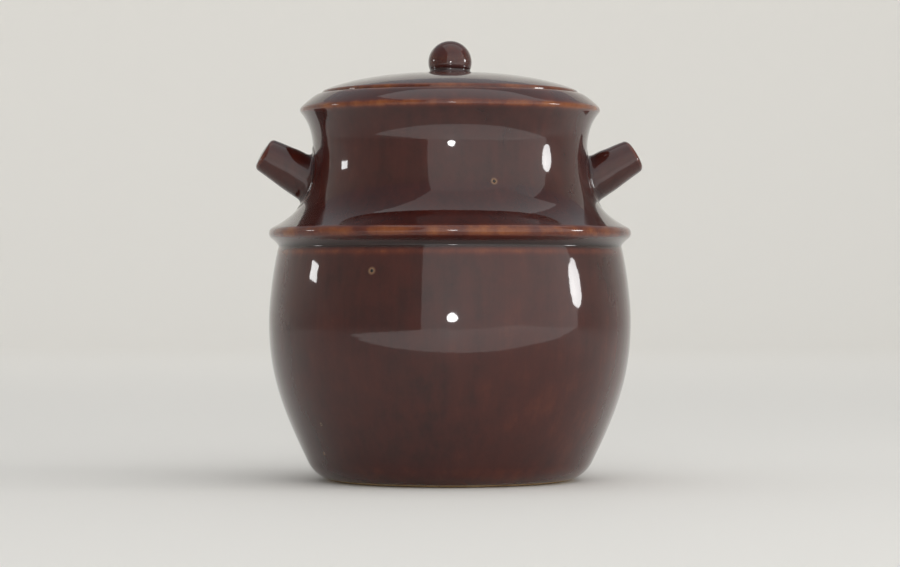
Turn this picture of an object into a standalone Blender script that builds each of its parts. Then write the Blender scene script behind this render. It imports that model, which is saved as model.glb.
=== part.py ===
"""Four litre fermentation crock in glazed stoneware: a thrown pot with two peg handles, a domed lid with a
ball knob, and a pair of half-round pressing weights inside. Metres, +Z up, origin at the middle of the foot."""

import math

import bpy
import numpy as np

# Radii of the pot, each one a step in or out from the one before it
BELLY_RADIUS = 0.0990
GROOVE_INSET = 0.0052  # belly to the groove under the collar
COLLAR_REACH = 0.0053  # groove to the tip of the collar
SHOULDER_WIDTH = 0.0187  # groove to the waist of the neck
LIP_FLARE = 0.0071  # waist to the outer corner of the lip
RIM_WIDTH = 0.0112  # outer corner of the lip to the wall round the lid
LEDGE_WIDTH = 0.0065  # that wall to the mouth, which the lid's flange rests across
FOOT_RADIUS = 0.0612  # outer edge of the flat that the pot stands on

# Heights of the pot, each one a rise above the one before it
BELLY_HEIGHT = 0.0870
GROOVE_RISE = 0.0408
COLLAR_RISE = 0.0074
WAIST_RISE = 0.0458
LIP_RISE = 0.0215
RIM_RISE = 0.0086

# Walls, foot, edges and ledge of the pot
WALL = 0.0075
FLOOR = 0.0090
FLOOR_CORNER = 0.0160  # height over which the floor turns up into the wall
FOOT_ROUNDING = 0.0185
FOOT_FLARE = 26  # degrees from upright at which the belly leaves the foot
LIP_ARC = (35, -40)  # degrees round its centre at which the lip's rounded corner starts and ends
COLLAR_ARC = (62, -52)  # the same for the collar's tip
RIM_ARC = (180, 65)  # and for the rim's edge beside the lid
GROOVE_HEADING = -72  # degrees below level at which the belly leaves the groove
FOOT_RING_WIDTH = 0.0080
FOOT_RECESS = 0.0025
COLLAR_ROUNDING = 0.0035
LIP_ROUNDING = 0.0022
RIM_ROUNDING = 0.0015
LEDGE_DEPTH = 0.0051  # rim down to the ledge
LEDGE_THICKNESS = 0.0050
LEDGE_FILLET = 0.0008

# Lid
LID_CLEARANCE = 0.0008  # round the flange
LID_EDGE = 0.0070  # height of the flange's upright edge
LID_EDGE_ROUNDING = 0.0015
LID_RISE = 0.0095  # top of the rounded edge to the crown
LID_WALL = 0.0065
SKIRT_CLEARANCE = 0.0015  # to the mouth
SKIRT_WALL = 0.0055
SKIRT_DEPTH = 0.0100  # below the ledge
SKIRT_ROUNDING = 0.0018

# Knob
KNOB_RADIUS = 0.0118
KNOB_NECKING = 0.0007  # step in from the ball to its stem
KNOB_STEM_HEIGHT = 0.0021  # crown of the lid to where the ball starts
KNOB_FILLET = 0.0018

# Handles
HANDLE_DROP = 0.0174  # waist down to where the handle's axis meets the neck
HANDLE_SLOPE = 30.5  # degrees above level
HANDLE_LENGTH = 0.0300  # along the axis, from the neck to the end
HANDLE_ROOT_RADIUS = 0.0118
HANDLE_END_RADIUS = 0.0096
HANDLE_END_ROUNDING = 0.0030
HANDLE_END_DOME = 0.0006
HANDLE_FILLET = 0.0040  # slip worked into the join with the neck

# Pressing weights
WEIGHT_CLEARANCE = 0.0045  # to the mouth that they pass through
WEIGHT_THICKNESS = 0.0180
WEIGHT_ROUNDING = 0.0035
WEIGHT_SPLIT = 0.0030  # between the two halves
FINGER_RADIUS = 0.0120  # hole that the two notches make together

SEAT_GAP = 0.0003  # between pieces that rest on or are joined to each other
TURN_STEPS = 48
KNOB_STEPS = 26
HANDLE_SIDES = 24

# Places worked out from the sizes above
GROOVE_RADIUS = BELLY_RADIUS - GROOVE_INSET
COLLAR_RADIUS = GROOVE_RADIUS + COLLAR_REACH
WAIST_RADIUS = GROOVE_RADIUS - SHOULDER_WIDTH
LIP_RADIUS = WAIST_RADIUS + LIP_FLARE
SEAT_RADIUS = LIP_RADIUS - RIM_WIDTH
MOUTH_RADIUS = SEAT_RADIUS - LEDGE_WIDTH
GROOVE_HEIGHT = BELLY_HEIGHT + GROOVE_RISE
COLLAR_HEIGHT = GROOVE_HEIGHT + COLLAR_RISE
WAIST_HEIGHT = COLLAR_HEIGHT + WAIST_RISE
LIP_HEIGHT = WAIST_HEIGHT + LIP_RISE
RIM_HEIGHT = LIP_HEIGHT + RIM_RISE
LEDGE_HEIGHT = RIM_HEIGHT - LEDGE_DEPTH
LID_CROWN = SEAT_GAP + LID_EDGE + LID_RISE  # above the ledge
KNOB_STEM_RADIUS = KNOB_RADIUS - KNOB_NECKING

DOWN, UP, IN, OUT = -90, 90, 180, 0  # headings of an outline, in degrees
QUARTER = 90  # an outline runs on at its arc's last angle less this


def arc(centre, radius, first, last, pieces):
    """Points on a circle from one angle to another, in degrees, as (radius, height) pairs."""
    angles = np.radians(np.linspace(first, last, pieces + 1))
    return [(centre[0] + radius * math.cos(a), centre[1] + radius * math.sin(a)) for a in angles]


def bend(start, leaving, end, arriving, pieces, pull=(0.35, 0.35)):
    """Points on the cubic curve that leaves start at one heading and reaches end at another.

    Each pull is the length of that end's handle as a share of the straight distance."""
    start, end = np.array(start), np.array(end)
    reach = np.linalg.norm(end - start)
    first = start + pull[0] * reach * np.array([math.cos(math.radians(leaving)), math.sin(math.radians(leaving))])
    last = end - pull[1] * reach * np.array([math.cos(math.radians(arriving)), math.sin(math.radians(arriving))])
    t = np.linspace(0, 1, pieces + 1)[:, None]
    curve = (1 - t) ** 3 * start + 3 * (1 - t) ** 2 * t * first + 3 * (1 - t) * t**2 * last + t**3 * end
    return [tuple(point) for point in curve]


def joined(*stretches):
    """One outline from stretches that follow each other, with the points they share kept once."""
    outline = []
    for stretch in stretches:
        for point in stretch:
            if not outline or math.dist(outline[-1], point) > 1e-6:
                outline.append(point)
    return outline


def offset(outline, distance):
    """The same outline moved square to itself, to the right of the way it runs."""
    points = np.array(outline)
    along = np.gradient(points, axis=0)
    along /= np.linalg.norm(along, axis=1)[:, None]
    return [tuple(point) for point in points + distance * np.column_stack([along[:, 1], -along[:, 0]])]


def heading(start, end):
    """The way from one point to the next, in degrees above level."""
    return math.degrees(math.atan2(end[1] - start[1], end[0] - start[0]))


def neck_outside():
    """The outer line from the lip's corner down the flared neck to the tip of the collar."""
    lip = arc((LIP_RADIUS - LIP_ROUNDING, LIP_HEIGHT), LIP_ROUNDING, *LIP_ARC, 3)
    collar = arc((COLLAR_RADIUS - COLLAR_ROUNDING, COLLAR_HEIGHT), COLLAR_ROUNDING, *COLLAR_ARC, 5)
    waist = (WAIST_RADIUS, WAIST_HEIGHT)
    flare = bend(lip[-1], LIP_ARC[1] - QUARTER, waist, DOWN, 5)
    cavetto = bend(waist, DOWN, collar[0], COLLAR_ARC[0] - QUARTER, 9, (0.56, 0.34))
    return joined(lip, flare, cavetto, collar)


def belly_outside():
    """The outer line from the groove under the collar down the barrel to the foot's rounding."""
    foot = foot_outside()
    widest = (BELLY_RADIUS, BELLY_HEIGHT)
    upper = bend((GROOVE_RADIUS, GROOVE_HEIGHT), GROOVE_HEADING, widest, DOWN, 6, (0.12, 0.35))
    lower = bend(widest, DOWN, foot[0], DOWN - FOOT_FLARE, 8, (0.37, 0.39))
    return joined(upper, lower)


def foot_outside():
    """The rounding between the belly and the flat that the pot stands on."""
    return arc((FOOT_RADIUS, FOOT_ROUNDING), FOOT_ROUNDING, -FOOT_FLARE, DOWN, 5)


def pot_inside():
    """The inner line from the middle of the floor up to the tip of the ledge, one wall in from the outside."""
    highest = GROOVE_HEIGHT - WALL / 2
    wall = [p for p in offset(belly_outside(), WALL)[::-1] if FLOOR + FLOOR_CORNER < p[1] < highest]
    corner = bend((wall[0][0] - FLOOR_CORNER, FLOOR), OUT, wall[0], heading(wall[0], wall[1]), 4)
    waist = (WAIST_RADIUS - WALL, WAIST_HEIGHT)
    shoulder = bend(wall[-1], heading(wall[-2], wall[-1]), waist, UP, 6, (0.30, 0.52))
    nose_radius = LEDGE_THICKNESS / 2
    nose_centre = (MOUTH_RADIUS + nose_radius, LEDGE_HEIGHT - nose_radius)
    nose = arc(nose_centre, nose_radius, 270, 90, 4)
    cove = bend(waist, UP, nose[0], IN, 5, (0.60, 0.12))
    return joined([(0, FLOOR)], corner, wall, shoulder, cove, nose)


def pot_outline():
    """The whole section of the pot, from the middle of the floor over the rim and down to the foot."""
    fillet_centre = (SEAT_RADIUS - LEDGE_FILLET, LEDGE_HEIGHT + LEDGE_FILLET)
    seat = arc(fillet_centre, LEDGE_FILLET, DOWN, 0, 2)
    rim_centre = (SEAT_RADIUS + RIM_ROUNDING, RIM_HEIGHT - RIM_ROUNDING)
    rim = arc(rim_centre, RIM_ROUNDING, *RIM_ARC, 3)
    neck = neck_outside()
    belly = belly_outside()
    lip_face = bend(rim[-1], RIM_ARC[1] - QUARTER, neck[0], LIP_ARC[0] - QUARTER, 3, (0.2, 0.2))
    under_collar = bend(neck[-1], COLLAR_ARC[1] - QUARTER, belly[0], DOWN, 3, (0.5, 0.2))
    ring_inside = FOOT_RADIUS - FOOT_RING_WIDTH
    recess = [(ring_inside, 0), (ring_inside - FOOT_RECESS, FOOT_RECESS), (0, FOOT_RECESS)]
    return joined(pot_inside(), seat, rim, lip_face, neck, under_collar, belly, foot_outside(), recess)


def lid_outline():
    """The section of the lid, measured up from the ledge: crown, dome, flange, skirt and hollow inside."""
    flange_radius = SEAT_RADIUS - LID_CLEARANCE
    edge_centre = (flange_radius - LID_EDGE_ROUNDING, SEAT_GAP + LID_EDGE - LID_EDGE_ROUNDING)
    edge = arc(edge_centre, LID_EDGE_ROUNDING, 65, 0, 3)
    crown_flat = (KNOB_STEM_RADIUS + KNOB_FILLET, LID_CROWN)
    dome = bend(crown_flat, OUT, edge[0], -25, 7, (0.30, 0.26))
    under_edge = arc((flange_radius - LEDGE_FILLET * 2, SEAT_GAP + LEDGE_FILLET * 2), LEDGE_FILLET * 2, 0, DOWN, 2)
    skirt_outside = MOUTH_RADIUS - SKIRT_CLEARANCE
    skirt_inside = skirt_outside - SKIRT_WALL
    bottom = -SKIRT_DEPTH + SKIRT_ROUNDING
    outer_foot = arc((skirt_outside - SKIRT_ROUNDING, bottom), SKIRT_ROUNDING, 0, DOWN, 3)
    inner_foot = arc((skirt_inside + SKIRT_ROUNDING, bottom), SKIRT_ROUNDING, DOWN, -180, 3)
    hollow_height = LID_CROWN - LID_WALL
    hollow = bend((skirt_inside, 0), UP, (crown_flat[0], hollow_height), IN, 7, (0.12, 0.40))
    return joined(
        [(0, LID_CROWN)],
        dome,
        edge,
        under_edge,
        [(skirt_outside, SEAT_GAP)],
        outer_foot,
        inner_foot,
        hollow,
        [(0, hollow_height)],
    )


def knob_outline():
    """The section of the knob, measured up from the lid's crown: a ball on a short stem with a fillet."""
    below = math.acos(KNOB_STEM_RADIUS / KNOB_RADIUS)
    centre = (0, KNOB_STEM_HEIGHT + KNOB_RADIUS * math.sin(below))
    ball = arc(centre, KNOB_RADIUS, 90, -math.degrees(below), 9)
    ball[0] = (0, centre[1] + KNOB_RADIUS)
    fillet_radius = min(KNOB_FILLET, KNOB_STEM_HEIGHT - SEAT_GAP)
    fillet_centre = (KNOB_STEM_RADIUS + fillet_radius, SEAT_GAP + fillet_radius)
    fillet = arc(fillet_centre, fillet_radius, 180, 270, 3)
    return joined(ball, fillet, [(0, SEAT_GAP)])


def glazed(name, colour, roughness):
    """A Principled material for fired clay."""
    material = bpy.data.materials.new(name)
    material.use_nodes = True
    shader = material.node_tree.nodes["Principled BSDF"]
    shader.inputs["Base Color"].default_value = (*colour, 1)
    shader.inputs["Roughness"].default_value = roughness
    shader.inputs["Metallic"].default_value = 0
    return material


def placed(name, data, material, collection, height=0.0, turn=0.0, parent=None):
    """An object in the collection, standing at this height on the pot's axis and turned about it."""
    piece = bpy.data.objects.new(name, data)
    collection.objects.link(piece)
    if not data.materials:
        data.materials.append(material)
    piece.location = (0, 0, height)
    piece.rotation_euler = (0, 0, turn)
    piece.parent = parent
    return piece


def turned(name, outline, steps, material, collection, **place):
    """A piece thrown on the wheel: its outline swept once about the axis."""
    mesh = bpy.data.meshes.new(name)
    points = [(radius, 0, height) for radius, height in outline]
    mesh.from_pydata(points, [(i, i + 1) for i in range(len(points) - 1)], [])
    piece = placed(name, mesh, material, collection, **place)
    screw = piece.modifiers.new("Turn", "SCREW")
    screw.axis = "Z"
    screw.steps = screw.render_steps = steps
    screw.use_merge_vertices = True
    screw.merge_threshold = 1e-5
    screw.use_smooth_shade = True
    return piece


def neck_radius(height):
    """Outer radius of the neck at these heights, read along its outline."""
    outline = np.array(neck_outside()[::-1])
    return np.interp(height, outline[:, 1], outline[:, 0])


class Peg:
    """The handle's own frame: its axis starts on the neck and rises outwards in the XZ plane."""

    def __init__(self):
        slope = math.radians(HANDLE_SLOPE)
        height = WAIST_HEIGHT - HANDLE_DROP
        self.start = np.array([neck_radius(height), 0, height])
        self.along = np.array([math.cos(slope), 0, math.sin(slope)])
        self.across = np.array([-math.sin(slope), 0, math.cos(slope)])
        self.side = np.array([0, -1, 0])
        self.angles = np.linspace(0, 2 * math.pi, HANDLE_SIDES, endpoint=False)

    def ring(self, radius, distance):
        """Points round the axis at this radius, each at its own distance along it."""
        around = np.cos(self.angles)[:, None] * self.across + np.sin(self.angles)[:, None] * self.side
        distance = np.broadcast_to(distance, self.angles.shape)
        return self.start + radius * around + distance[:, None] * self.along

    def on_neck(self, radius):
        """Distances along the axis at which lines beside it come out of the neck, found by halving."""
        inside = np.full(HANDLE_SIDES, -HANDLE_LENGTH)
        outside = np.full(HANDLE_SIDES, HANDLE_LENGTH)
        for _ in range(40):
            middle = (inside + outside) / 2
            points = self.ring(radius, middle)
            clear = np.hypot(points[:, 0], points[:, 1]) > neck_radius(points[:, 2]) + SEAT_GAP
            inside = np.where(clear, inside, middle)
            outside = np.where(clear, middle, outside)
        return outside


def handle_mesh():
    """A tapered peg lofted from the saddle where it sits on the neck to its round end.

    The root's rings lie on the neck, a quarter fillet turns them up along the peg, the peg tapers
    in straight lines, and the end has a rounded edge and a low dome."""
    peg = Peg()
    foot_radius = HANDLE_ROOT_RADIUS + HANDLE_FILLET
    rings = [peg.ring(foot_radius * share, peg.on_neck(foot_radius * share)) for share in (0.3, 0.65, 1)]
    root = peg.on_neck(HANDLE_ROOT_RADIUS)
    for quarter in np.radians([30, 60, 90]):
        radius = HANDLE_ROOT_RADIUS + HANDLE_FILLET * (1 - math.sin(quarter))
        distance = peg.on_neck(radius) + HANDLE_FILLET * (1 - math.cos(quarter))
        rings.append(peg.ring(radius, distance))
    edge_radius = HANDLE_END_RADIUS - HANDLE_END_ROUNDING
    edge_start = HANDLE_LENGTH - HANDLE_END_ROUNDING
    for share in (1 / 3, 2 / 3, 1):
        radius = HANDLE_ROOT_RADIUS + share * (HANDLE_END_RADIUS - HANDLE_ROOT_RADIUS)
        rings.append(peg.ring(radius, (1 - share) * (root + HANDLE_FILLET) + share * edge_start))
    for quarter in np.radians([30, 60, 90]):
        radius = edge_radius + HANDLE_END_ROUNDING * math.cos(quarter)
        rings.append(peg.ring(radius, edge_start + HANDLE_END_ROUNDING * math.sin(quarter)))
    rings.append(peg.ring(edge_radius / 2, HANDLE_LENGTH + HANDLE_END_DOME * 0.75))
    first = peg.start + SEAT_GAP / math.cos(math.radians(HANDLE_SLOPE)) * peg.along
    last = peg.start + (HANDLE_LENGTH + HANDLE_END_DOME) * peg.along
    points = np.vstack([first, *rings, last])
    count = len(rings)
    faces = []
    for i in range(HANDLE_SIDES):
        j = (i + 1) % HANDLE_SIDES
        faces.append((0, 1 + j, 1 + i))
        for k in range(count - 1):
            low, high = 1 + k * HANDLE_SIDES, 1 + (k + 1) * HANDLE_SIDES
            faces.append((low + i, low + j, high + j, high + i))
        rim = 1 + (count - 1) * HANDLE_SIDES
        faces.append((rim + i, rim + j, len(points) - 1))
    mesh = bpy.data.meshes.new("handle")
    mesh.from_pydata(points.tolist(), [], faces)
    mesh.shade_smooth()
    mesh.set_sharp_from_angle(angle=math.radians(50))
    return mesh


def weight_outline():
    """Half a disc with a finger notch in the middle of its straight edge, as (x, y) points."""
    inside = np.array(pot_inside())
    rising = inside[inside[:, 1] < GROOVE_HEIGHT]
    room = np.interp(FLOOR + WEIGHT_ROUNDING, rising[:, 1], rising[:, 0])
    radius = min(MOUTH_RADIUS, room) - WEIGHT_CLEARANCE
    flat = WEIGHT_SPLIT / 2
    end = math.degrees(math.acos(flat / radius))
    notch = math.degrees(math.acos(flat / FINGER_RADIUS))
    return arc((0, 0), radius, -end, end, 22) + arc((0, 0), FINGER_RADIUS, notch, -notch, 8)


def weight_curve():
    """The outline of a pressing weight, extruded to its thickness."""
    curve = bpy.data.curves.new("weight", "CURVE")
    curve.dimensions = "2D"
    curve.fill_mode = "BOTH"
    curve.extrude = WEIGHT_THICKNESS / 2
    outline = weight_outline()
    spline = curve.splines.new("POLY")
    spline.points.add(len(outline) - 1)
    for point, (x, y) in zip(spline.points, outline):
        point.co = (x, y, 0, 1)
    spline.use_cyclic_u = True
    return curve


def round_edges(piece):
    """Softens the arrises of a weight, as a damp sponge does before firing."""
    weld = piece.modifiers.new("Weld", "WELD")
    weld.merge_threshold = 1e-5
    flatten = piece.modifiers.new("Whole flat faces", "DECIMATE")
    flatten.decimate_type = "DISSOLVE"
    flatten.angle_limit = math.radians(1)
    bevel = piece.modifiers.new("Bevel", "BEVEL")
    bevel.width = WEIGHT_ROUNDING
    bevel.segments = 3
    bevel.limit_method = "ANGLE"
    bevel.angle_limit = math.radians(40)


def crock():
    """Builds every piece into one collection."""
    for leftover in list(bpy.data.objects):
        bpy.data.objects.remove(leftover)
    collection = bpy.data.collections.new("Fermentation crock")
    bpy.context.scene.collection.children.link(collection)
    brown = glazed("Brown glaze", (0.085, 0.034, 0.016), 0.12)
    amber = glazed("Amber brown glaze", (0.120, 0.048, 0.020), 0.12)
    stoneware = glazed("Unglazed stoneware", (0.520, 0.430, 0.320), 0.75)

    turned("pot", pot_outline(), TURN_STEPS, brown, collection)
    handle = handle_mesh()
    placed("right_handle", handle, amber, collection)
    placed("left_handle", handle, amber, collection, turn=math.pi)

    lid = turned("lid", lid_outline(), TURN_STEPS, brown, collection, height=LEDGE_HEIGHT)
    turned("lid_knob", knob_outline(), KNOB_STEPS, amber, collection, height=LID_CROWN, parent=lid)

    weight = weight_curve()
    weight_height = FLOOR + SEAT_GAP + WEIGHT_THICKNESS / 2
    round_edges(placed("weight_right", weight, stoneware, collection, height=weight_height))
    round_edges(placed("weight_left", weight, stoneware, collection, height=weight_height, turn=math.pi))


crock()
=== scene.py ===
"""Looks of the four litre fermentation crock: a thrown stoneware pot with two peg handles, a domed lid with
a ball knob, and two pressing weights inside. Metres, +Z up, the front towards -Y."""

import math

import bpy
import numpy as np
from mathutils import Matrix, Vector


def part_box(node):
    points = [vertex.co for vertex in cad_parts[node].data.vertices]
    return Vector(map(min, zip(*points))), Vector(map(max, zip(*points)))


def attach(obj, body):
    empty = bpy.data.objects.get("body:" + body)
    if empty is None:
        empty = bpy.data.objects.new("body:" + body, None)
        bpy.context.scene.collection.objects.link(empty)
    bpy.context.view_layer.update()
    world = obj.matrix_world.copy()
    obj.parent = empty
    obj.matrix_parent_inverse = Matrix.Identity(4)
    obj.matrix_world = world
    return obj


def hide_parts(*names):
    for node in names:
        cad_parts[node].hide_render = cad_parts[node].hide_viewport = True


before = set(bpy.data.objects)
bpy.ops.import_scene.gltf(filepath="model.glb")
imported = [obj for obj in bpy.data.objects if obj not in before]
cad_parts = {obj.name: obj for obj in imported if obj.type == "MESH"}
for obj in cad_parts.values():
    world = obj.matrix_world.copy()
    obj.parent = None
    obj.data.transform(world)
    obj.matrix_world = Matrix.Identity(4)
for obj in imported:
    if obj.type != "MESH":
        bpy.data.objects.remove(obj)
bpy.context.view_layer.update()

pot_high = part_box("pot")[1]
lid_low, lid_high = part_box("lid")
weight_low, weight_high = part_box("weight_right")

# Radii of the pot
BELLY_RADIUS = 0.0990
GROOVE_RADIUS = BELLY_RADIUS - 0.0052
COLLAR_RADIUS = pot_high.x
WAIST_RADIUS = GROOVE_RADIUS - 0.0187
LIP_RADIUS = WAIST_RADIUS + 0.0071
SEAT_RADIUS = LIP_RADIUS - 0.0112
MOUTH_RADIUS = SEAT_RADIUS - 0.0065
FOOT_RADIUS = 0.0612

# Heights of the pot, stepped down from its rim
RIM_HEIGHT = pot_high.z
LEDGE_HEIGHT = RIM_HEIGHT - 0.0051
LIP_HEIGHT = RIM_HEIGHT - 0.0086
WAIST_HEIGHT = LIP_HEIGHT - 0.0215
COLLAR_HEIGHT = WAIST_HEIGHT - 0.0458
GROOVE_HEIGHT = COLLAR_HEIGHT - 0.0074
BELLY_HEIGHT = GROOVE_HEIGHT - 0.0408

# Walls and roundings of the pot
WALL = 0.0075
FLOOR = 0.0090
FLOOR_CORNER = 0.0160
FOOT_ROUNDING = 0.0185
FOOT_FLARE = 26  # degrees from upright at which the belly leaves the foot
FOOT_RING_WIDTH = 0.0080
FOOT_RECESS = 0.0025
COLLAR_ROUNDING = 0.0035
LIP_ROUNDING = 0.0022
RIM_ROUNDING = 0.0015
LEDGE_THICKNESS = 0.0050
LEDGE_FILLET = 0.0008

# Lid and knob
SEAT_GAP = 0.0003
FLANGE_RADIUS = lid_high.x
LID_EDGE = 0.0070
LID_EDGE_ROUNDING = 0.0015
LID_CROWN = lid_high.z - LEDGE_HEIGHT
LID_WALL = 0.0065
SKIRT_RADIUS = MOUTH_RADIUS - 0.0015
SKIRT_WALL = 0.0055
SKIRT_DEPTH = LEDGE_HEIGHT - lid_low.z
SKIRT_ROUNDING = 0.0018
KNOB_RADIUS = 0.0118
KNOB_STEM_RADIUS = KNOB_RADIUS - 0.0007
KNOB_STEM_HEIGHT = 0.0021
KNOB_FILLET = 0.0018

# Handles
HANDLE_DROP = 0.0174  # waist of the neck down to where the handle's axis meets it
HANDLE_SLOPE = 30.5  # degrees above level
HANDLE_LENGTH = 0.0300
HANDLE_ROOT_RADIUS = 0.0118
HANDLE_END_RADIUS = 0.0096
HANDLE_END_ROUNDING = 0.0030
HANDLE_END_DOME = 0.0006
COIL_WIDTH = 0.0075  # of the coil of clay smoothed down round the root
COIL_HEIGHT = 0.0006
COIL_SINK = 0.0002  # depth to which the coil's outer edge is pressed into the neck
ROOT_FILLET = 0.0046

# Pressing weights
WEIGHT_RADIUS = 0.0600
WEIGHT_SPLIT = 0.0030
WEIGHT_ROUNDING = 0.0035
FINGER_RADIUS = 0.0120

# Marks of the hand: how deep the waves in a radius are, and how far apart
POT_OVAL = 0.00012
POT_LOBES = 0.00008
POT_WARP = 0.00003
THROWING_RINGS = 0.000003
THROWING_PITCH = 0.0065
MARKS_MARGIN = 0.0040  # kept smooth next to the foot and the lip
MARKS_RAMP = 0.0200  # over which the marks come in
TURNING_RINGS = 0.00002
TURNING_PITCH = 0.0023
TURNING_RADIUS = 0.0560  # of the middle of the ringed band on the lid
TURNING_REACH = 0.0060  # from that middle to where the rings are about a third as deep
KNOB_OVAL = 0.00012
PEG_OVAL = 0.00010
PEG_LOBES = 0.00007
PEG_SWELL = 0.00020  # of the peg halfway along

# Glaze and bare clay
RUN_OFF_REACH = 0.0011  # along the surface, over which molten glaze feels a bend
RUN_OFF_PULL = 0.0032  # radius of a bend that sheds its glaze altogether
THIN_BAND_DROP = 0.0030  # groove under the collar down to the middle of a band of thin glaze
THIN_BAND_WIDTH = 0.0018
GLAZE_LINE = 0.0014  # height at which the glaze stops short of the shelf it was fired on
BARE_MARGIN = 0.0006  # how far past a seat the clay was wiped clean
# Each pinhole is drawn with painted shade in its mouth and a painted highlight in a pale ring round it
# Pinholes: degrees round from +X, height and radius of the mouth
PINHOLES = (
    (-120, 0.1144, 0.0010),
    (-77.5, 0.1614, 0.0009),
    (-146, 0.0330, 0.0005),
    (-151, 0.0170, 0.0005),
)

# Camera, in front of the crock and a little to the left of it, level with the upper belly
CAMERA_DISTANCE = 1.686
CAMERA_AZIMUTH = 5  # degrees to the left of the front
CAMERA_HEIGHT = 0.1077
LENS = 123
SENSOR = 36
CROCK_MIDDLE = (0, 0, 0.12)  # what the lamps aim at

# Points round the pot and the lid, round the small pieces and the sweep, and along a small rounding
SIDES = 168
SMALL_SIDES = 96
ROUND = 8
SAME_POINT = 2e-5  # points of an outline that are closer than this are one
SHARP_ANGLE = 50  # degrees between two faces, past which their edge isn't smoothed

# Headings in an outline, degrees above level
DOWN, UP, IN, OUT = -90, 90, 180, 0

# Sockets of a colour Mix node: its factor, its two colours and its result
FACTOR, FIRST, SECOND, RESULT = 0, 6, 7, 2


def linear(colour):
    """A hex colour as linear red, green, blue and alpha."""
    channels = np.array([int(colour[i:i + 2], 16) for i in (1, 3, 5)]) / 255
    values = np.where(channels <= 0.04045, channels / 12.92, ((channels + 0.055) / 1.055) ** 2.4)
    return (*values.tolist(), 1.0)


def around(azimuth, distance, height):
    """A place by degrees counterclockwise from +X, distance from the axis and height."""
    a = math.radians(azimuth)
    return (distance * math.cos(a), distance * math.sin(a), height)


# Outlines: (distance from the axis, height)


def arc(centre, radius, first, last, count):
    """Stretch of a circle: centre + radius (cos a, sin a), with a running evenly between two angles."""
    a = np.radians(np.linspace(first, last, count))
    return np.column_stack([centre[0] + radius * np.cos(a), centre[1] + radius * np.sin(a)])


def bend(start, leaving, end, arriving, count, pull=(0.35, 0.35)):
    """Cubic curve from start to end: (1-t)^3 A + 3(1-t)^2 t B + 3(1-t) t^2 C + t^3 D.

    B lies from A along the leaving heading and C before D along the arriving one, each by its pull times the
    distance from A to D."""
    start, end = np.array(start, float), np.array(end, float)
    reach = np.linalg.norm(end - start)
    away, home = np.radians(leaving), np.radians(arriving)
    first = start + pull[0] * reach * np.array([np.cos(away), np.sin(away)])
    last = end - pull[1] * reach * np.array([np.cos(home), np.sin(home)])
    t = np.linspace(0, 1, count)[:, None]
    return (1 - t) ** 3 * start + 3 * (1 - t) ** 2 * t * first + 3 * (1 - t) * t**2 * last + t**3 * end


def straight(start, end, count):
    """Evenly spaced points from start to end."""
    return np.linspace(start, end, count)


def joined(*stretches):
    """Stretches laid end to end, without the points that they share."""
    points = np.vstack(stretches)
    fresh = np.linalg.norm(np.diff(points, axis=0), axis=1) > SAME_POINT
    return points[np.r_[True, fresh]]


def heading(start, end):
    """Degrees above level of the way from one point to the next."""
    return math.degrees(math.atan2(end[1] - start[1], end[0] - start[0]))


def way_along(line):
    """Distance from the start of an outline to each of its points."""
    return np.r_[0, np.cumsum(np.linalg.norm(np.diff(line, axis=0), axis=1))]


def directions(line):
    """Unit vectors along an outline at its points."""
    along = np.gradient(line, axis=0)
    return along / np.linalg.norm(along, axis=1)[:, None]


def neck_line(flare_points=24, cavetto_points=52):
    """Lip's corner, flare, cavetto and the round nose of the collar, from the top down."""
    lip = arc((LIP_RADIUS - LIP_ROUNDING, LIP_HEIGHT), LIP_ROUNDING, 35, -40, ROUND)
    collar = arc((COLLAR_RADIUS - COLLAR_ROUNDING, COLLAR_HEIGHT), COLLAR_ROUNDING, 62, -52, 18)
    waist = (WAIST_RADIUS, WAIST_HEIGHT)
    flare = bend(lip[-1], -130, waist, DOWN, flare_points)
    cavetto = bend(waist, DOWN, collar[0], -28, cavetto_points, (0.56, 0.34))
    return joined(lip, flare, cavetto, collar)


def foot_line():
    """Quarter round between the belly and the flat that the pot stands on."""
    return arc((FOOT_RADIUS, FOOT_ROUNDING), FOOT_ROUNDING, -FOOT_FLARE, DOWN, 24)


def belly_line():
    """Barrel from the groove under the collar to the foot's rounding."""
    widest = (BELLY_RADIUS, BELLY_HEIGHT)
    upper = bend((GROOVE_RADIUS, GROOVE_HEIGHT), -72, widest, DOWN, 40, (0.12, 0.35))
    lower = bend(widest, DOWN, foot_line()[0], DOWN - FOOT_FLARE, 64, (0.37, 0.39))
    return joined(upper, lower)


def outside_line():
    """Whole outer face of the pot, from the lip's corner to the flat of the foot."""
    neck, belly = neck_line(), belly_line()
    under_collar = bend(neck[-1], -142, belly[0], DOWN, 12, (0.5, 0.2))
    return joined(neck, under_collar, belly, foot_line())


def inside_line():
    """Inner face from the middle of the floor to the tip of the ledge.

    It is the belly moved in by the wall along its normals, between the floor and a cove under the ledge."""
    belly = belly_line()
    along = directions(belly)
    wall = (belly + WALL * np.column_stack([along[:, 1], -along[:, 0]]))[::-1]
    wall = wall[(wall[:, 1] > FLOOR + FLOOR_CORNER) & (wall[:, 1] < GROOVE_HEIGHT - WALL / 2)]
    corner = bend((wall[0, 0] - FLOOR_CORNER, FLOOR), OUT, wall[0], heading(wall[0], wall[1]), 16)
    waist = (WAIST_RADIUS - WALL, WAIST_HEIGHT)
    shoulder = bend(wall[-1], heading(wall[-2], wall[-1]), waist, UP, 36, (0.30, 0.52))
    nose_radius = LEDGE_THICKNESS / 2
    nose = arc((MOUTH_RADIUS + nose_radius, LEDGE_HEIGHT - nose_radius), nose_radius, 270, 90, 12)
    cove = bend(waist, UP, nose[0], IN, 18, (0.60, 0.12))
    return joined(straight((0, FLOOR), corner[0], 12), corner, wall, shoulder, cove, nose)


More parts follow.
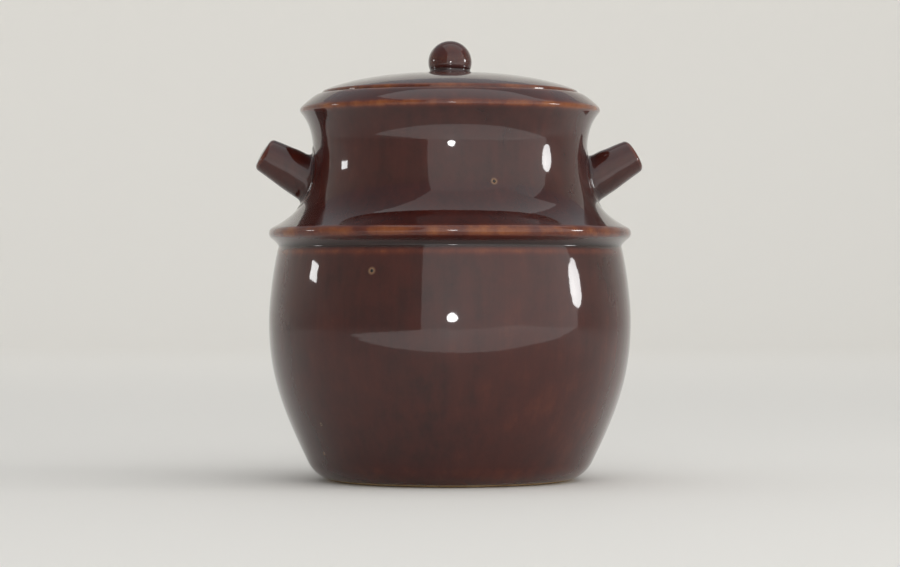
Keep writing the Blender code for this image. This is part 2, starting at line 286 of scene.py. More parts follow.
def pot_line():
    """Section of the pot: floor, inner wall, ledge, rim, sloping lip, outer face, foot ring and recess."""
    seat = arc((SEAT_RADIUS - LEDGE_FILLET, LEDGE_HEIGHT + LEDGE_FILLET), LEDGE_FILLET, DOWN, 0, 6)
    rim = arc((SEAT_RADIUS + RIM_ROUNDING, RIM_HEIGHT - RIM_ROUNDING), RIM_ROUNDING, 180, 65, ROUND)
    outside = outside_line()
    lip_face = bend(rim[-1], -25, outside[0], -55, 14, (0.2, 0.2))
    ring_inside = FOOT_RADIUS - FOOT_RING_WIDTH
    ring = straight(outside[-1], (ring_inside, 0), 8)
    step = straight((ring_inside, 0), (ring_inside - FOOT_RECESS, FOOT_RECESS), 5)
    recess = straight(step[-1], (0, FOOT_RECESS), 8)
    return joined(inside_line(), seat, rim, lip_face, outside, ring, step, recess)


def lid_line():
    """Section of the lid, from its crown over the dome and the upright edge, under the flange, round the
    skirt and across the hollow to the middle again."""
    edge_centre = (FLANGE_RADIUS - LID_EDGE_ROUNDING, SEAT_GAP + LID_EDGE - LID_EDGE_ROUNDING)
    edge = arc(edge_centre, LID_EDGE_ROUNDING, 65, 0, ROUND)
    crown = (KNOB_STEM_RADIUS + KNOB_FILLET, LID_CROWN)
    dome = bend(crown, OUT, edge[0], -25, 64, (0.30, 0.26))
    # Rounder than the fillet in the ledge's corner, so that the flange sits flat
    under = LEDGE_FILLET * 2
    under_edge = arc((FLANGE_RADIUS - under, SEAT_GAP + under), under, 0, DOWN, ROUND)
    corner = (SKIRT_RADIUS, SEAT_GAP)
    bottom = SKIRT_ROUNDING - SKIRT_DEPTH
    outer_foot = arc((SKIRT_RADIUS - SKIRT_ROUNDING, bottom), SKIRT_ROUNDING, 0, DOWN, ROUND)
    skirt_inside = SKIRT_RADIUS - SKIRT_WALL
    inner_foot = arc((skirt_inside + SKIRT_ROUNDING, bottom), SKIRT_ROUNDING, DOWN, -180, ROUND)
    hollow_height = LID_CROWN - LID_WALL
    hollow = bend((skirt_inside, 0), UP, (crown[0], hollow_height), IN, 48, (0.12, 0.40))
    line = joined(
        straight((0, LID_CROWN), crown, 10),
        dome,
        edge,
        under_edge,
        straight(under_edge[-1], corner, 8),
        straight(corner, outer_foot[0], 6),
        outer_foot,
        inner_foot,
        hollow,
        straight(hollow[-1], (0, hollow_height), 8),
    )
    return line + (0, LEDGE_HEIGHT)


def knob_line():
    """Section of the knob: a ball that narrows to a stem and a small fillet on the lid's crown."""
    below = math.acos(KNOB_STEM_RADIUS / KNOB_RADIUS)
    centre_height = KNOB_STEM_HEIGHT + KNOB_RADIUS * math.sin(below)
    ball = arc((0, centre_height), KNOB_RADIUS, 90, -math.degrees(below), 48)
    ball[0, 0] = 0
    # The fillet stops 2 degrees short of level, where it would thin out to nothing
    fillet = arc((KNOB_STEM_RADIUS + KNOB_FILLET, KNOB_FILLET), KNOB_FILLET, 180, 268, 12)
    return joined(ball, fillet, straight(fillet[-1], (0, 0), 6)) + (0, lid_high.z)


# Meshes


def piece_from(name, points, faces):
    """A mesh object at the origin from an array of points and lists of faces."""
    mesh = bpy.data.meshes.new(name)
    mesh.from_pydata(points.tolist(), [], faces)
    mesh.shade_smooth()
    mesh.set_sharp_from_angle(angle=math.radians(SHARP_ANGLE))
    piece = bpy.data.objects.new(name, mesh)
    bpy.context.scene.collection.objects.link(piece)
    return piece


def ring_angles(sides):
    """Angles of the points round a ring, counterclockwise from +X."""
    return np.arange(sides) * 2 * np.pi / sides


def band_faces(rows, sides):
    """Quads of a grid of rows closed round its sides: (i, j), (i+1, j), (i+1, j+1), (i, j+1)."""
    i, j = np.meshgrid(np.arange(rows - 1), np.arange(sides), indexing="ij")
    k = (j + 1) % sides
    quads = np.stack([i * sides + j, (i + 1) * sides + j, (i + 1) * sides + k, i * sides + k], axis=-1)
    return quads.reshape(-1, 4).tolist()


def fan_faces(pole, ring, forwards):
    """Triangles of a pole and each pair of neighbours on the ring round it, taken forwards or backwards."""
    following = np.roll(ring, -1)
    first, second = (ring, following) if forwards else (following, ring)
    return np.column_stack([np.full(len(ring), pole), first, second]).tolist()


def turned(name, line, sides, swell):
    """Surface of revolution of an outline that starts and ends on the axis: (r cos a, r sin a, z).

    swell, one value for each point of the outline and side, moves the surface along the outline's normal."""
    angle = ring_angles(sides)
    rows, along = line[1:-1], directions(line)[1:-1]
    swell = np.broadcast_to(swell[1:-1], (len(rows), sides))
    radius = rows[:, :1] - along[:, 1:] * swell
    height = rows[:, 1:] + along[:, :1] * swell
    grid = np.stack([radius * np.cos(angle), radius * np.sin(angle), height], axis=-1).reshape(-1, 3)
    points = np.vstack([grid, [0, 0, line[0, 1]], [0, 0, line[-1, 1]]])
    ring = np.arange(sides)
    faces = band_faces(len(rows), sides)
    faces += fan_faces(len(grid), ring, True)
    faces += fan_faces(len(grid) + 1, ring + (len(rows) - 1) * sides, False)
    return piece_from(name, points, faces)


def per_vertex(values, sides):
    """One value for each point of an outline, repeated round the rows and kept once at each pole."""
    return np.concatenate([np.repeat(values[1:-1], sides), values[:1], values[-1:]])


def run_off(line):
    """How far molten glaze draws off each point of an outline, from -1 in hollows to 1 on sharp edges.

    The turn of the line per metre, convex positive, is averaged with weights exp(-(s - s')^2 / 2 reach^2)
    over the way s along it and multiplied by the radius of a bend that sheds its glaze."""
    step = np.diff(line, axis=0)
    way = way_along(line)
    angle = np.unwrap(np.arctan2(step[:, 1], step[:, 0]))
    turn = np.r_[0, -np.diff(angle), 0]
    share = np.gradient(way)
    closeness = np.exp(-((way[:, None] - way[None, :]) ** 2) / (2 * RUN_OFF_REACH**2))
    bent = (closeness @ turn) / (closeness @ share)
    return np.clip(bent * RUN_OFF_PULL, -1, 1)


def keep_run_off(piece, values):
    """Stores the glaze's run-off on the mesh, one number a vertex, for the glaze to read."""
    attribute = piece.data.attributes.new("run_off", "FLOAT", "POINT")
    attribute.data.foreach_set("value", np.asarray(values, np.float32))


def wiped_clean(piece, clay, bare):
    """Gives bare clay to the faces of a glazed piece whose corners are all marked bare."""
    piece.data.materials.append(clay)
    corners = np.zeros(len(piece.data.loops), np.int32)
    starts = np.zeros(len(piece.data.polygons), np.int32)
    piece.data.loops.foreach_get("vertex_index", corners)
    piece.data.polygons.foreach_get("loop_start", starts)
    slots = np.minimum.reduceat(bare[corners].astype(np.int32), starts)
    piece.data.polygons.foreach_set("material_index", slots)


# Pieces


def throwing_marks(angle, height):
    """Uneven hand-thrown radius: a slow oval, lobes and a warp, and faint rings that climb like a screw.

    Their depths times cos(2a + 1), cos(3a - 30z), cos(5a + 55z) and cos(z 2pi / pitch - a), added up."""
    slow = POT_OVAL * np.cos(2 * angle + 1) + POT_LOBES * np.cos(3 * angle - 30 * height)
    warp = POT_WARP * np.cos(5 * angle + 55 * height)
    rings = THROWING_RINGS * np.cos(height * 2 * np.pi / THROWING_PITCH - angle)
    return slow + warp + rings


def pot(glaze, clay):
    """The thrown pot, glazed inside and out, with its ledge and foot wiped clean.

    The glaze also lies thin in a band round the belly's shoulder: 0.7 exp(-(z - middle)^2 / width^2)."""
    line = pot_line()
    heights = line[:, 1]
    outside = np.arange(len(line)) >= np.argmax(heights)
    from_foot = np.clip((heights - MARKS_MARGIN) / MARKS_RAMP, 0, 1)
    from_lip = np.clip((LIP_HEIGHT - MARKS_MARGIN - heights) / MARKS_RAMP, 0, 1)
    fade = from_foot * from_lip * outside
    marks = fade[:, None] * throwing_marks(ring_angles(SIDES)[None, :], heights[:, None])
    piece = turned("pot_glazed", line, SIDES, marks)
    piece.data.materials.append(glaze)
    from_middle = heights - (GROOVE_HEIGHT - THIN_BAND_DROP)
    thin_band = 0.70 * np.exp(-((from_middle / THIN_BAND_WIDTH) ** 2)) * outside
    keep_run_off(piece, per_vertex(run_off(line) + thin_band, SIDES))
    # The rim's upright wall stays glazed
    short_of_rim = line[:, 0] < SEAT_RADIUS - 0.0001
    on_ledge = ~outside & (heights > LEDGE_HEIGHT - BARE_MARGIN) & short_of_rim
    under_foot = outside & (heights < GLAZE_LINE)
    wiped_clean(piece, clay, per_vertex(on_ledge | under_foot, SIDES))
    return piece


def lid(glaze, clay):
    """The domed lid, glazed above and in its hollow, bare under the flange and on the skirt.

    A turning tool left fine rings near its edge: depth cos(s 2pi / pitch) exp(-((r - middle) / reach)^4),
    with s the way from the crown."""
    line = lid_line()
    rise = line[:, 1] - LEDGE_HEIGHT
    order = np.arange(len(line))
    flange_row = np.argmax(line[:, 0])
    skirt_end = np.argmin(line[:, 1])
    near_edge = np.exp(-(((line[:, 0] - TURNING_RADIUS) / TURNING_REACH) ** 4)) * (order < flange_row)
    rings = TURNING_RINGS * near_edge * np.cos(way_along(line) * 2 * np.pi / TURNING_PITCH)
    piece = turned("lid_glazed", line, SIDES, rings[:, None])
    piece.data.materials.append(glaze)
    keep_run_off(piece, per_vertex(run_off(line), SIDES))
    # Bare from near the end of the flange's lower rounding to a little way up the skirt's inside
    past_rounding = order > flange_row + ROUND - 2
    before_hollow = order < skirt_end + 2 * ROUND - 2
    wiped_clean(piece, clay, per_vertex(past_rounding & (rise < BARE_MARGIN) & before_hollow, SIDES))
    return piece


def knob(glaze):
    """The ball knob, rolled by hand: its radius swells by its oval's depth times cos(2a + 1)."""
    line = knob_line()
    on_ball = line[:, 1] > lid_high.z + KNOB_STEM_HEIGHT
    fade = np.clip(line[:, 0] / KNOB_STEM_RADIUS, 0, 1) * on_ball
    oval = KNOB_OVAL * np.cos(2 * ring_angles(SMALL_SIDES) + 1)
    piece = turned("knob_glazed", line, SMALL_SIDES, fade[:, None] * oval[None, :])
    piece.data.materials.append(glaze)
    # Its glaze lies a little thin all over, and its stem sheds less than a sharp edge would
    thin = np.clip(run_off(line) * 0.6 + 0.1, -1, 1)
    keep_run_off(piece, per_vertex(thin, SMALL_SIDES))
    return piece


def neck_radius(height):
    """Outer radius of the neck at these heights, read along its line, drawn finely to show no facet."""
    line = neck_line(flare_points=200, cavetto_points=500)[::-1]
    return np.interp(height, line[:, 1], line[:, 0])


def handle(name, turn, glaze):
    """A tapered peg with a soft coil of clay pressed round its root, turned about the pot's axis.

    Point (u, a) = start + rho(u) (cos a across + sin a side) + s(u, a) along. On the coil (rho, s) runs up a
    low swell and on up a fillet to the peg's side, with s counted along that line from the neck's surface.
    Then a straight taper, a quarter round and a low dome close it."""
    sides = SMALL_SIDES
    slope = math.radians(HANDLE_SLOPE)
    foot = WAIST_HEIGHT - HANDLE_DROP
    start = np.array([float(neck_radius(foot)), 0, foot])
    along = np.array([math.cos(slope), 0, math.sin(slope)])
    across = np.array([-math.sin(slope), 0, math.cos(slope)])
    side = np.array([0, -1, 0])
    angle = ring_angles(sides)

    def ring(radius, distance):
        """Points of a ring round the peg's axis, for one radius and distance or one for each point."""
        outwards = np.cos(angle)[:, None] * across + np.sin(angle)[:, None] * side
        distance = np.broadcast_to(distance, angle.shape)[:, None]
        return start + np.broadcast_to(radius, angle.shape)[:, None] * outwards + distance * along

    def on_neck(radius):
        """Distances at which a ring of this radius meets the neck, found by halving."""
        inside, outside = np.full(sides, -HANDLE_LENGTH), np.full(sides, HANDLE_LENGTH)
        for _ in range(34):
            middle = (inside + outside) / 2
            points = ring(radius, middle)
            clear = np.hypot(points[:, 0], points[:, 1]) > neck_radius(points[:, 2])
            inside, outside = np.where(clear, inside, middle), np.where(clear, middle, outside)
        return outside

    # Thumb marks: the coil is smoothed down in nine shallow dabs
    dabs = 1 + 0.09 * np.cos(9 * angle + 0.8) + 0.07 * np.cos(3 * angle)
    crest = (HANDLE_ROOT_RADIUS + COIL_WIDTH * 0.45, COIL_HEIGHT)
    top = (HANDLE_ROOT_RADIUS, COIL_HEIGHT + ROOT_FILLET)
    swell = bend((HANDLE_ROOT_RADIUS + COIL_WIDTH, -COIL_SINK), IN, crest, IN, 15, (0.50, 0.45))
    fillet = bend(crest, IN + 14, top, UP, 15, (0.42, 0.52))
    coil = joined(swell, fillet)
    # Turned over, because this outline has the clay on the other side
    coil_thinness = run_off(coil * (1, -1)) * 0.4

    # A row holds a ring's radius, its distance along the peg and how thin its glaze lies
    rows = [(rho, on_neck(rho) + s * dabs, thin) for (rho, s), thin in zip(coil, coil_thinness)]
    root = on_neck(HANDLE_ROOT_RADIUS) + top[1] * dabs
    edge_radius = HANDLE_END_RADIUS - HANDLE_END_ROUNDING
    edge_start = HANDLE_LENGTH - HANDLE_END_ROUNDING
    # Rolled by hand: the peg's radius wanders, and swells a little midway
    for t in np.linspace(0.02, 1, 30):
        uneven = PEG_OVAL * np.cos(2 * angle + 5 * t) + PEG_LOBES * np.cos(3 * angle - 7 * t) + PEG_SWELL
        taper = HANDLE_ROOT_RADIUS + t * (HANDLE_END_RADIUS - HANDLE_ROOT_RADIUS)
        distance = (1 - t) * root + t * edge_start
        rows.append((taper + uneven * math.sin(math.pi * t), distance, 0.05 - 0.2 * math.exp(-t * 10)))
    for quarter in np.radians(np.linspace(8, 90, 13)):
        radius = edge_radius + HANDLE_END_ROUNDING * math.cos(quarter)
        distance = edge_start + HANDLE_END_ROUNDING * math.sin(quarter)
        rows.append((radius, distance, 0.05 + 0.6 * math.sin(2 * quarter) ** 2))
    for share in (0.75, 0.5, 0.25):
        rows.append((edge_radius * share, HANDLE_LENGTH + HANDLE_END_DOME * (1 - share**2), 0.05))

    # One pole closes the dome and the other, inside the neck's wall, closes the root
    tip = start + (HANDLE_LENGTH + HANDLE_END_DOME) * along
    inside_neck = start - 0.002 * along
    points = np.vstack([*(ring(radius, distance) for radius, distance, _ in rows), tip, inside_neck])
    count = len(rows)
    first_ring = np.arange(sides)
    faces = [quad[::-1] for quad in band_faces(count, sides)]
    faces += fan_faces(count * sides, first_ring + (count - 1) * sides, True)
    faces += fan_faces(count * sides + 1, first_ring, False)
    c, s = math.cos(turn), math.sin(turn)
    piece = piece_from(name, points @ np.array([[c, s, 0], [-s, c, 0], [0, 0, 1]]), faces)
    piece.data.materials.append(glaze)
    thinness = [thin for _, _, thin in rows]
    keep_run_off(piece, np.r_[np.repeat(thinness, sides), 0.05, 0.0])
    return piece


def weight(name, side, clay):
    """Half a disc with a finger notch: an outline smoothed by a running mean, between quarter-round arrises.

    On an arris of radius w the edge lies w (1 - cos q) inside the outline and w (1 - sin q) from the face,
    with q from 90 degrees at the face to 0 on the side."""
    flat = WEIGHT_SPLIT / 2
    end = math.degrees(math.acos(flat / WEIGHT_RADIUS))
    notch = math.degrees(math.acos(flat / FINGER_RADIUS))
    outer = arc((0, 0), WEIGHT_RADIUS, -end, end, 400)
    inner = arc((0, 0), FINGER_RADIUS, notch, -notch, 80)
    edge = np.vstack([outer, straight(outer[-1], inner[0], 120), inner, straight(inner[-1], outer[0], 120)])
    length = way_along(edge)
    count = 360
    way = np.linspace(0, length[-1], count, endpoint=False)
    edge = np.column_stack([np.interp(way, length, edge[:, 0]), np.interp(way, length, edge[:, 1])])
    neighbours = range(-6, 7)
    edge = sum(np.roll(edge, k, axis=0) for k in neighbours) / len(neighbours)
    along = np.roll(edge, -1, axis=0) - np.roll(edge, 1, axis=0)
    along /= np.linalg.norm(along, axis=1)[:, None]
    inward = np.column_stack([-along[:, 1], along[:, 0]])
    quarter = np.radians(np.linspace(90, 0, 9))
    drawn_in = WEIGHT_ROUNDING * (1 - np.cos(quarter))
    from_face = WEIGHT_ROUNDING * (1 - np.sin(quarter))
    insets = np.r_[drawn_in, drawn_in[::-1]]
    heights = np.r_[weight_high.z - from_face, weight_low.z + from_face[::-1]]
    rows = edge + insets[:, None, None] * inward
    levels = np.broadcast_to(heights[:, None, None], (len(heights), count, 1))
    points = np.concatenate([rows, levels], axis=2).reshape(-1, 3)
    faces = band_faces(len(heights), count)
    faces.append(list(range(count)))
    faces.append(list(range(len(points) - count, len(points)))[::-1])
    piece = piece_from(name, points * (side, side, 1), faces)
    piece.data.materials.append(clay)
    return piece


# Materials


def node(material, kind, settings=None, links=None):
    """Adds a shader node, sets its fields, its colour stops and its unlinked inputs, and joins the sources
    in links to the inputs that they are named or numbered for."""
    made = material.node_tree.nodes.new(kind)
    for field, value in (settings or {}).items():
        if field == "stops":
            elements = made.color_ramp.elements
            while len(elements) < len(value):
                elements.new(0.5)
            for element, (place, colour) in zip(elements, value):
                element.position = place
                element.color = linear(colour)
        elif isinstance(field, str) and hasattr(made, field):
            setattr(made, field, value)
        else:
            made.inputs[field].default_value = value
    for socket, source in (links or {}).items():
        material.node_tree.links.new(source, made.inputs[socket])
    return made


def material_named(name):
    """A node material of this name, with its output and its Object coordinates."""
    material = bpy.data.materials.new(name)
    material.use_nodes = True
    material.node_tree.nodes.clear()
    output = node(material, "ShaderNodeOutputMaterial")
    place = node(material, "ShaderNodeTexCoord").outputs["Object"]
    return material, output, place


def glaze_colour(material, place, drawn_down, mottle):
    """Colour of the glaze by how thin it lies: 0.42 + what ridges shed + the sum of share (noise - 0.5)."""
    drawn_off = node(material, "ShaderNodeAttribute", {"attribute_name": "run_off"}).outputs["Fac"]
    # Runs about 7 mm wide and 60 mm long
    run_settings = {"Scale": 150, "Detail": 4, "Roughness": 0.62}
    runs = node(material, "ShaderNodeTexNoise", run_settings, {"Vector": drawn_down}).outputs["Fac"]
    # Slow change of thickness from one side of the pot to the other, about 90 mm across
    slow = node(material, "ShaderNodeTexNoise", {"Scale": 11, "Detail": 2}, {"Vector": place}).outputs["Fac"]
    # Crystals and iron grains of about 1 mm
    grain_settings = {"Scale": 900, "Detail": 3, "Roughness": 0.7}
    grains = node(material, "ShaderNodeTexNoise", grain_settings, {"Vector": place}).outputs["Fac"]

    # Ridges shed their glaze unevenly: run_off times a share of about 0.25 to 0.45 that the mottling moves
    uneven = node(material, "ShaderNodeMath", {"operation": "MULTIPLY_ADD", 1: 0.5, 2: 0.10}, {0: mottle})
    shed = node(material, "ShaderNodeMath", {"operation": "MULTIPLY"}, {0: drawn_off, 1: uneven.outputs[0]})
    shares = ((mottle, 0.30), (runs, 0.28), (slow, 0.34), (grains, 0.08))
    settled = {"operation": "ADD", 1: 0.42 - sum(share for _, share in shares) / 2}
    thinness = node(material, "ShaderNodeMath", settled, {0: shed.outputs[0]}).outputs[0]
    for noise, share in shares:
        added = {"operation": "MULTIPLY_ADD", 1: share}
        thinness = node(material, "ShaderNodeMath", added, {0: noise, 2: thinness}).outputs[0]
    stops = (
        (0.0, "#160605"),
        (0.28, "#290a07"),
        (0.48, "#3d130b"),
        (0.66, "#542110"),
        (0.84, "#743b16"),
        (1.0, "#8a5223"),
    )
    return node(material, "ShaderNodeValToRGB", {"stops": stops}, {"Fac": thinness}).outputs["Color"]


def with_pinholes(material, place, colour):
    """Pinholes, where gas broke through: the colour, with a dark mouth, painted shade in the hole, inside a
    pale ring, a painted highlight, at each, and their depth, 1 in a mouth and 0 round it."""
    outside = outside_line()[::-1]
    depth = None
    for azimuth, height, mouth in PINHOLES:
        centre = around(azimuth, float(np.interp(height, outside[:, 1], outside[:, 0])), height)
        away = node(material, "ShaderNodeVectorMath", {"operation": "DISTANCE", 1: centre}, {0: place})
        # A pale ring round the mouth: a painted highlight, a glint painted into the colour
        ring = {"From Min": mouth * 2.4, "From Max": mouth * 1.2}
        painted_highlight_ring = node(material, "ShaderNodeMapRange", ring, {"Value": away.outputs["Value"]}).outputs["Result"]
        painted_highlight_ring = node(material, "ShaderNodeMath", {"operation": "MULTIPLY", 1: 0.7}, {0: painted_highlight_ring}).outputs[0]
        pale = {"data_type": "RGBA", SECOND: linear("#8a6a4e")}
        colour = node(material, "ShaderNodeMix", pale, {FACTOR: painted_highlight_ring, FIRST: colour}).outputs[RESULT]
        # A dark mouth: painted shade inside the hole, whose mask also sinks the dent
        hole = {"From Min": mouth * 1.1, "From Max": mouth * 0.7}
        dark = node(material, "ShaderNodeMapRange", hole, {"Value": away.outputs["Value"]}).outputs["Result"]
        black = {"data_type": "RGBA", SECOND: linear("#0a0403")}
        colour = node(material, "ShaderNodeMix", black, {FACTOR: dark, FIRST: colour}).outputs[RESULT]
        if depth is not None:
            dark = node(material, "ShaderNodeMath", {"operation": "MAXIMUM"}, {0: dark, 1: depth}).outputs[0]
        depth = dark
    return colour, depth


def glassy_skin(material, place, drawn_down, depth):
    """Normal of the glass: orange peel 2.4 mm across, ridges where it ran and a slow waver 22 mm across, all
    very shallow, with the pinholes sunk in it."""
    peel = node(material, "ShaderNodeTexNoise", {"Scale": 420, "Detail": 0}, {"Vector": place})
    peel_links = {"Height": peel.outputs["Fac"]}
    skin = node(material, "ShaderNodeBump", {"Strength": 0.03, "Distance": 0.0003}, peel_links)
    ridges = node(material, "ShaderNodeTexNoise", {"Scale": 230, "Detail": 1}, {"Vector": drawn_down})
    ridge_links = {"Height": ridges.outputs["Fac"], "Normal": skin.outputs["Normal"]}
    drips = node(material, "ShaderNodeBump", {"Strength": 0.04, "Distance": 0.0003}, ridge_links)
    swell = node(material, "ShaderNodeTexNoise", {"Scale": 45, "Detail": 0}, {"Vector": place})
    swell_links = {"Height": swell.outputs["Fac"], "Normal": drips.outputs["Normal"]}
    waver = node(material, "ShaderNodeBump", {"Strength": 0.13, "Distance": 0.0010}, swell_links)
    sunk = {"Strength": 0.8, "Distance": 0.0008, "invert": True}
    sunk_links = {"Height": depth, "Normal": waver.outputs["Normal"]}
    return node(material, "ShaderNodeBump", sunk, sunk_links).outputs["Normal"]


def brown_slip_glaze():
    """Brown slip glaze fired over stoneware: nearly black oxblood where it lies thick, amber where it draws
    off ridges and edges. It ran downwards, so it is streaked, and its skin is glassy, with a faint peel."""
    material, output, place = material_named("brown slip glaze on stoneware")
    # Mottling about 12 mm across, which is 1 / 80 of a metre
    mottle_settings = {"Scale": 80, "Detail": 5, "Roughness": 0.6}
    mottle = node(material, "ShaderNodeTexNoise", mottle_settings, {"Vector": place}).outputs["Fac"]
    # Runs and drips are about nine times as long as they are wide
    stretch = {"Scale": (1, 1, 0.11)}
    drawn_down = node(material, "ShaderNodeMapping", stretch, {"Vector": place}).outputs["Vector"]
    colour = glaze_colour(material, place, drawn_down, mottle)
    # Pinholes: painted shade in each mouth and a painted highlight in a ring round it
    colour, depth = with_pinholes(material, place, colour)
    normal = glassy_skin(material, place, drawn_down, depth)
    matting = {"From Min": 0.3, "From Max": 0.75, "To Min": 0.30, "To Max": 0.45}
    rough = node(material, "ShaderNodeMapRange", matting, {"Value": mottle}).outputs["Result"]
    # A clear coat carries the gloss, and the body under it is duller
    gloss = {
        "IOR": 1.5,
        "Specular IOR Level": 0.05,
        "Coat Weight": 1.0,
        "Coat Roughness": 0.045,
        "Coat IOR": 1.5,
    }
    sources = {"Base Color": colour, "Roughness": rough, "Normal": normal, "Coat Normal": normal}
    shader = node(material, "ShaderNodeBsdfPrincipled", gloss, sources)
    material.node_tree.links.new(shader.outputs["BSDF"], output.inputs["Surface"])
    return material


def bare_stoneware():
    """Unglazed stoneware, fired to a toasted buff: matt, with a fine sandy tooth and iron specks."""
    material, output, place = material_named("unglazed buff stoneware")
    # Clouds of toasting about 17 mm across
    cloud_settings = {"Scale": 60, "Detail": 6, "Roughness": 0.6}
    cloud = node(material, "ShaderNodeTexNoise", cloud_settings, {"Vector": place}).outputs["Fac"]
    toasted = {"stops": ((0.25, "#a1835f"), (0.5, "#b79a74"), (0.75, "#c9b08c"))}
    colour = node(material, "ShaderNodeValToRGB", toasted, {"Fac": cloud}).outputs["Color"]
    # Iron specks about 3 mm apart
    dots = node(material, "ShaderNodeTexVoronoi", {"Scale": 330, "Randomness": 1.0}, {"Vector": place})
    fade = {"From Min": 0.12, "From Max": 0.2, "To Min": 0.75, "To Max": 0.0}
    speck = node(material, "ShaderNodeMapRange", fade, {"Value": dots.outputs["Distance"]}).outputs["Result"]
    iron = {"data_type": "RGBA", SECOND: linear("#54321c")}
    colour = node(material, "ShaderNodeMix", iron, {FACTOR: speck, FIRST: colour}).outputs[RESULT]
    # Sandy tooth of grains 0.6 mm across
    sand = node(material, "ShaderNodeTexNoise", {"Scale": 1600, "Detail": 3}, {"Vector": place})
    rubbed = {"Strength": 0.45, "Distance": 0.0003}
    tooth = node(material, "ShaderNodeBump", rubbed, {"Height": sand.outputs["Fac"]})
    sources = {"Base Color": colour, "Normal": tooth.outputs["Normal"]}
    shader = node(material, "ShaderNodeBsdfPrincipled", {"Roughness": 0.82, "IOR": 1.5}, sources)
    material.node_tree.links.new(shader.outputs["BSDF"], output.inputs["Surface"])
    return material


def studio_paint():
    """Matt pale studio paint."""
    material, output, _ = material_named("pale studio paint")
    shader = node(material, "ShaderNodeBsdfPrincipled", {"Base Color": linear("#f0ede7"), "Roughness": 0.8})
    material.node_tree.links.new(shader.outputs["BSDF"], output.inputs["Surface"])
    return material


# Stage, lights and camera


def sweep():
    """Round studio sweep, a surface of revolution: a flat floor that curves up into a wall all round."""
    floor_radius, curve, wall_height = 3.4, 1.2, 2.9
    corner = arc((floor_radius, curve), curve, DOWN, 0, 24)
    wall = straight(corner[-1], (floor_radius + curve, wall_height), 4)
    rows = joined(straight((0, 0), corner[0], 8), corner, wall)[1:]
    angle = ring_angles(SMALL_SIDES)
    radius = rows[:, :1]
    height = np.broadcast_to(rows[:, 1:], (len(rows), SMALL_SIDES))
    grid = np.stack([radius * np.cos(angle), radius * np.sin(angle), height], axis=-1).reshape(-1, 3)
    faces = band_faces(len(rows), SMALL_SIDES)
    faces += fan_faces(len(grid), np.arange(SMALL_SIDES), True)
    floor = piece_from("sweep", np.vstack([grid, [0, 0, 0]]), faces)
    floor.data.materials.append(studio_paint())


def softbox(name, place, width, height, brightness, aim=CROCK_MIDDLE, shape="RECTANGLE", spread=180):
    """An area lamp that faces aim, behind a honeycomb grid if its spread is under 180 degrees.

    Its power is brightness times pi times its area times (1 - h / tan h), with h half of the spread, so that
    brightness is its own radiance straight ahead."""
    data = bpy.data.lights.new(name, "AREA")
    data.shape = shape
    data.size = width
    data.size_y = height
    area = width * height * (math.pi / 4 if shape == "ELLIPSE" else 1)
    half = math.radians(spread / 2)
    data.spread = 2 * half
    data.energy = brightness * math.pi * area * (1 - half / math.tan(half))
    lamp = bpy.data.objects.new(name, data)
    bpy.context.scene.collection.objects.link(lamp)
    lamp.location = place
    towards = np.array(aim) - np.array(place)
    pan = math.atan2(-towards[0], towards[1])
    tilt = math.atan2(towards[2], math.hypot(towards[0], towards[1])) + math.pi / 2
    lamp.rotation_euler = (tilt, 0, pan)
    lamp.visible_camera = False


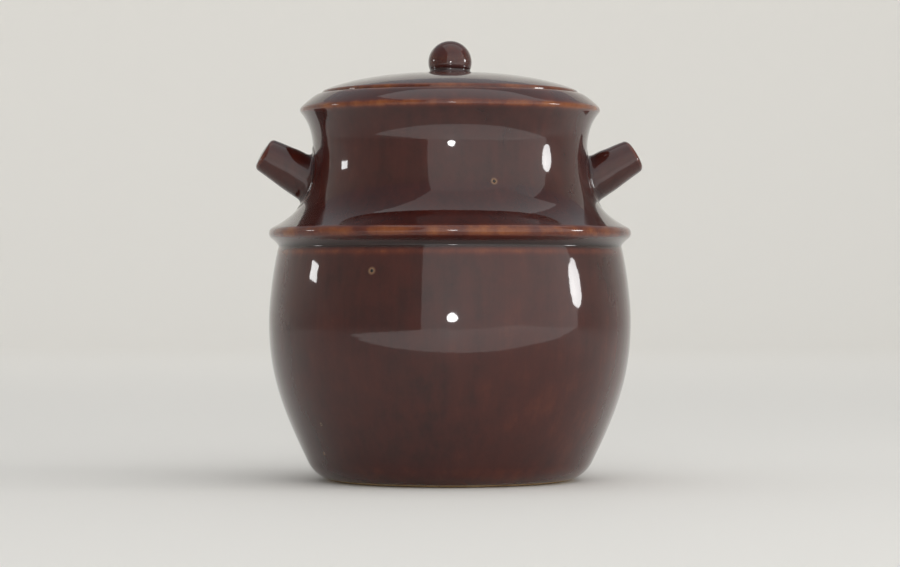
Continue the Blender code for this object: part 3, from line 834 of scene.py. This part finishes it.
def lights():
    """Bright cloth in front, on the right, overhead and on the table before the crock.

    With it a lamp on the right, a window on the left, a lamp above the lens, and a wash on the backdrop that
    lights nothing on the crock. The two lamps have grids, which keep the floor before them from clipping."""
    left, right, front, back = -1.0, 2.35, -2.35, 1.0
    low, high = 0.003, 2.6
    right_depth = 1.94
    table_end = -0.40
    wall, ceiling, table = 0.86, 0.68, 0.84
    width, middle, x = right - left, (low + high) / 2, (left + right) / 2
    softbox("front_cloth", (x, front, middle), width, high - low, wall, aim=(x, 0, middle))
    y = front + right_depth / 2
    softbox("right_cloth", (right, y, middle), right_depth, high - low, wall, aim=(0, y, middle))
    y = (back + front) / 2
    softbox("ceiling_cloth", (x, y, high), width, back - front, ceiling, aim=(x, y, 0))
    y = (table_end + front) / 2
    softbox("table_cloth", (x, y, low), width, table_end - front, table, aim=(x, y, 1))
    softbox("right_lamp", around(-9.5, 2.0, 0.45), 0.36, 0.40, 17, shape="ELLIPSE", spread=60)
    softbox("left_window", around(168, 2.0, 0.50), 0.25, 0.13, 12)
    above_lens = around(-93.7, CAMERA_DISTANCE + 0.02, 0.18)
    softbox("lens_lamp", above_lens, 0.19, 0.15, 38, shape="ELLIPSE", spread=60)
    softbox("backdrop_wash", (0, 2.0, 2.6), 3.6, 0.6, 3.7, aim=(0, 4.6, 0.6))
    world = bpy.data.worlds.new("studio air")
    world.use_nodes = True
    background = world.node_tree.nodes["Background"]
    background.inputs["Color"].default_value = linear("#dfe3e8")
    background.inputs["Strength"].default_value = 0.54
    bpy.context.scene.world = world


def camera():
    """Level camera, a little to the left, with the crock filling most of the frame's height."""
    data = bpy.data.cameras.new("camera")
    data.lens = LENS
    data.sensor_width = SENSOR
    made = bpy.data.objects.new("camera", data)
    bpy.context.scene.collection.objects.link(made)
    made.location = around(-90 - CAMERA_AZIMUTH, CAMERA_DISTANCE, CAMERA_HEIGHT)
    made.rotation_euler = (math.pi / 2, 0, math.radians(-CAMERA_AZIMUTH))
    bpy.context.scene.camera = made


def dress():
    """Makes every piece, sets it on its body and lets it stand for its CAD node."""
    glaze = brown_slip_glaze()
    clay = bare_stoneware()
    pieces = (
        (pot(glaze, clay), "crock", "pot", "brown_glaze"),
        (handle("right_peg", 0.0, glaze), "crock", "right_handle", "brown_glaze"),
        (handle("left_peg", math.pi, glaze), "crock", "left_handle", "brown_glaze"),
        (lid(glaze, clay), "lid", "lid", "lid_glaze"),
        (knob(glaze), "lid", "lid_knob", "lid_glaze"),
        (weight("pressing_weight_right", 1, clay), "right_weight", "weight_right", "bare_stoneware"),
        (weight("pressing_weight_left", -1, clay), "left_weight", "weight_left", "bare_stoneware"),
    )
    for piece, body, stood_for, slot in pieces:
        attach(piece, body)
        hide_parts(stood_for)


dress()
sweep()
lights()
camera()
bpy.context.scene.view_settings.view_transform = "Standard"
